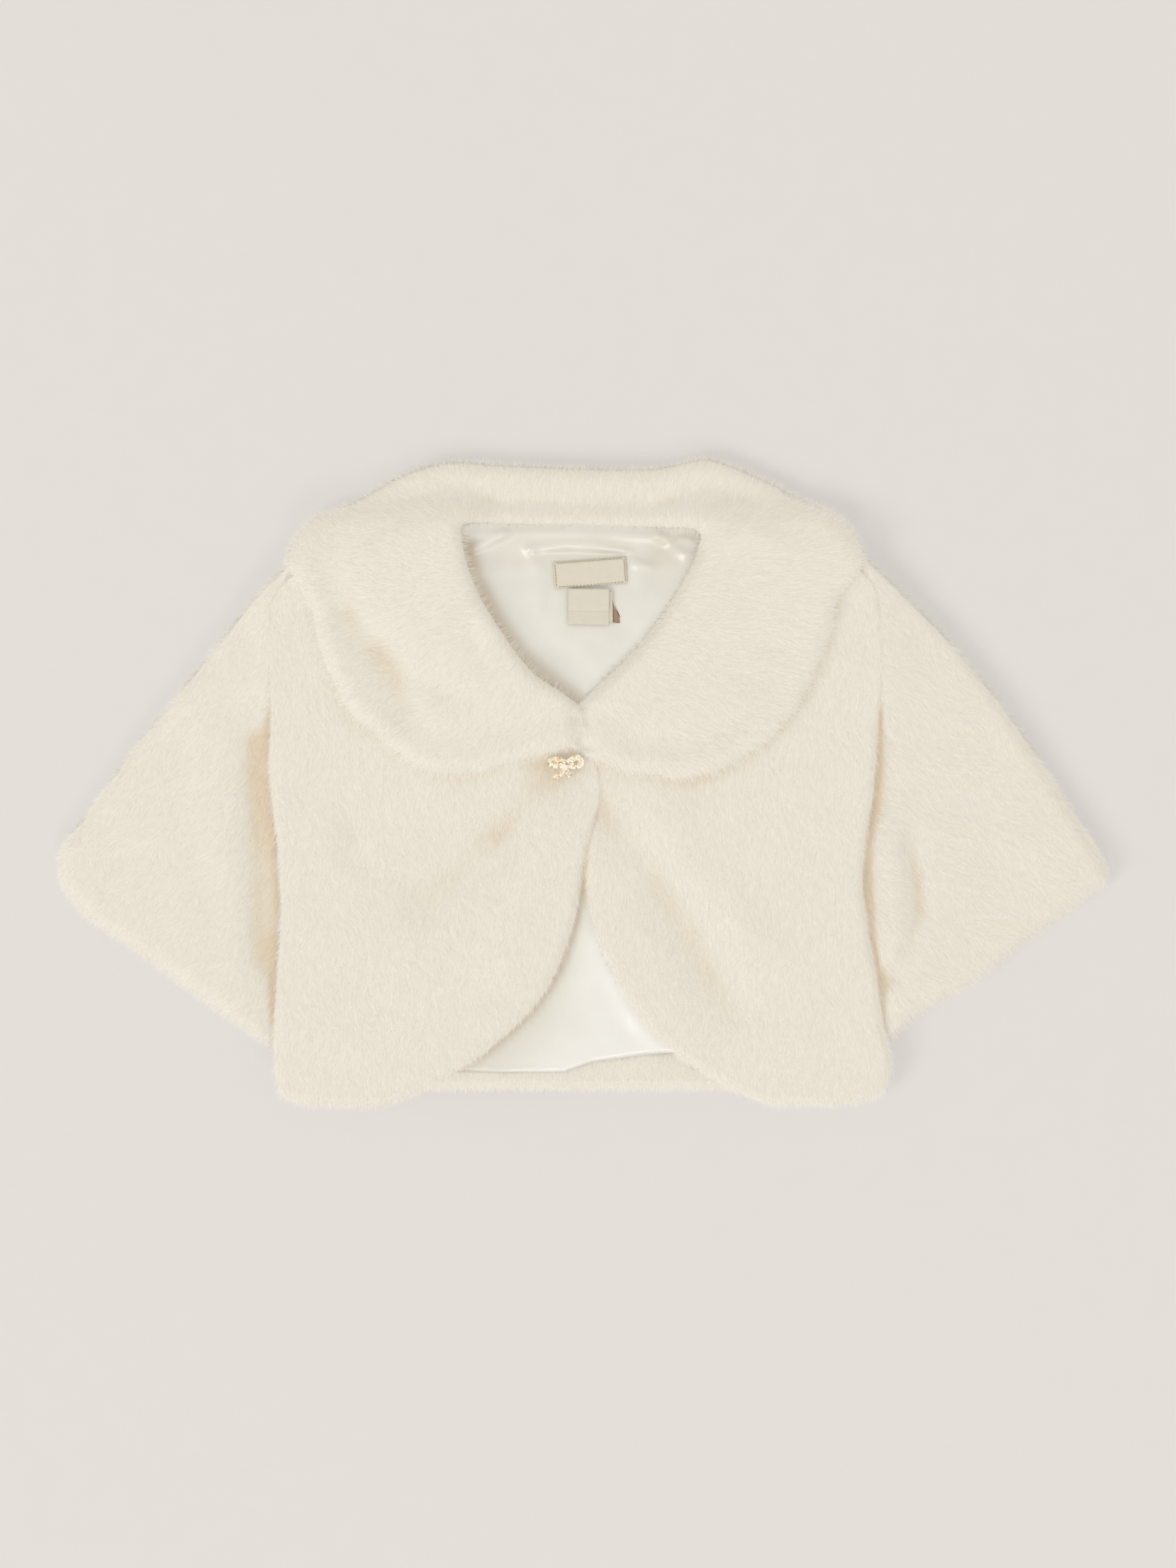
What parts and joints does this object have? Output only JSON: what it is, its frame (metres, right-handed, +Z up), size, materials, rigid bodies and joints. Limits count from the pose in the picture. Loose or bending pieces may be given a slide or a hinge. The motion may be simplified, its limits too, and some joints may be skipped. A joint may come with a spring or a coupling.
{
  "type": "bolero",
  "caption": "Child's short faux-fur bolero laid flat: wide round collar turned over at the neck, cape-like sleeves, curved open fronts, satin-lined back and a bow-shaped metal clasp",
  "frame": {"origin": "under the middle of the garment's outline, on the surface it lies on", "axes": "+X towards the right sleeve as seen from above, +Y towards the neck, +Z up from the surface"},
  "size_m": [0.5937, 0.3676, 0.029],
  "materials": {
    "back_fur": "ivory faux fur, short dense pile",
    "lining_satin": "ivory satin",
    "front_left_fur": "ivory faux fur, short dense pile",
    "front_right_fur": "ivory faux fur, short dense pile",
    "sleeve_left_fur": "ivory faux fur, short dense pile",
    "sleeve_right_fur": "ivory faux fur, short dense pile",
    "collar_fur": "ivory faux fur, short dense pile",
    "neck_label_woven": "woven label, bare",
    "size_label_woven": "woven label, bare",
    "care_label_woven": "folded woven strip, bare",
    "bow_clasp_gold": "polished gold-coloured metal"
  },
  "bodies": {
    "root": {"back": "back_fur", "lining": "lining_satin", "front_left": "front_left_fur", "front_right": "front_right_fur", "sleeve_left": "sleeve_left_fur", "sleeve_right": "sleeve_right_fur", "collar": "collar_fur", "neck_label": "neck_label_woven", "size_label": "size_label_woven", "care_label": "care_label_woven", "bow_clasp": "bow_clasp_gold"}
  },
  "joints": []
}
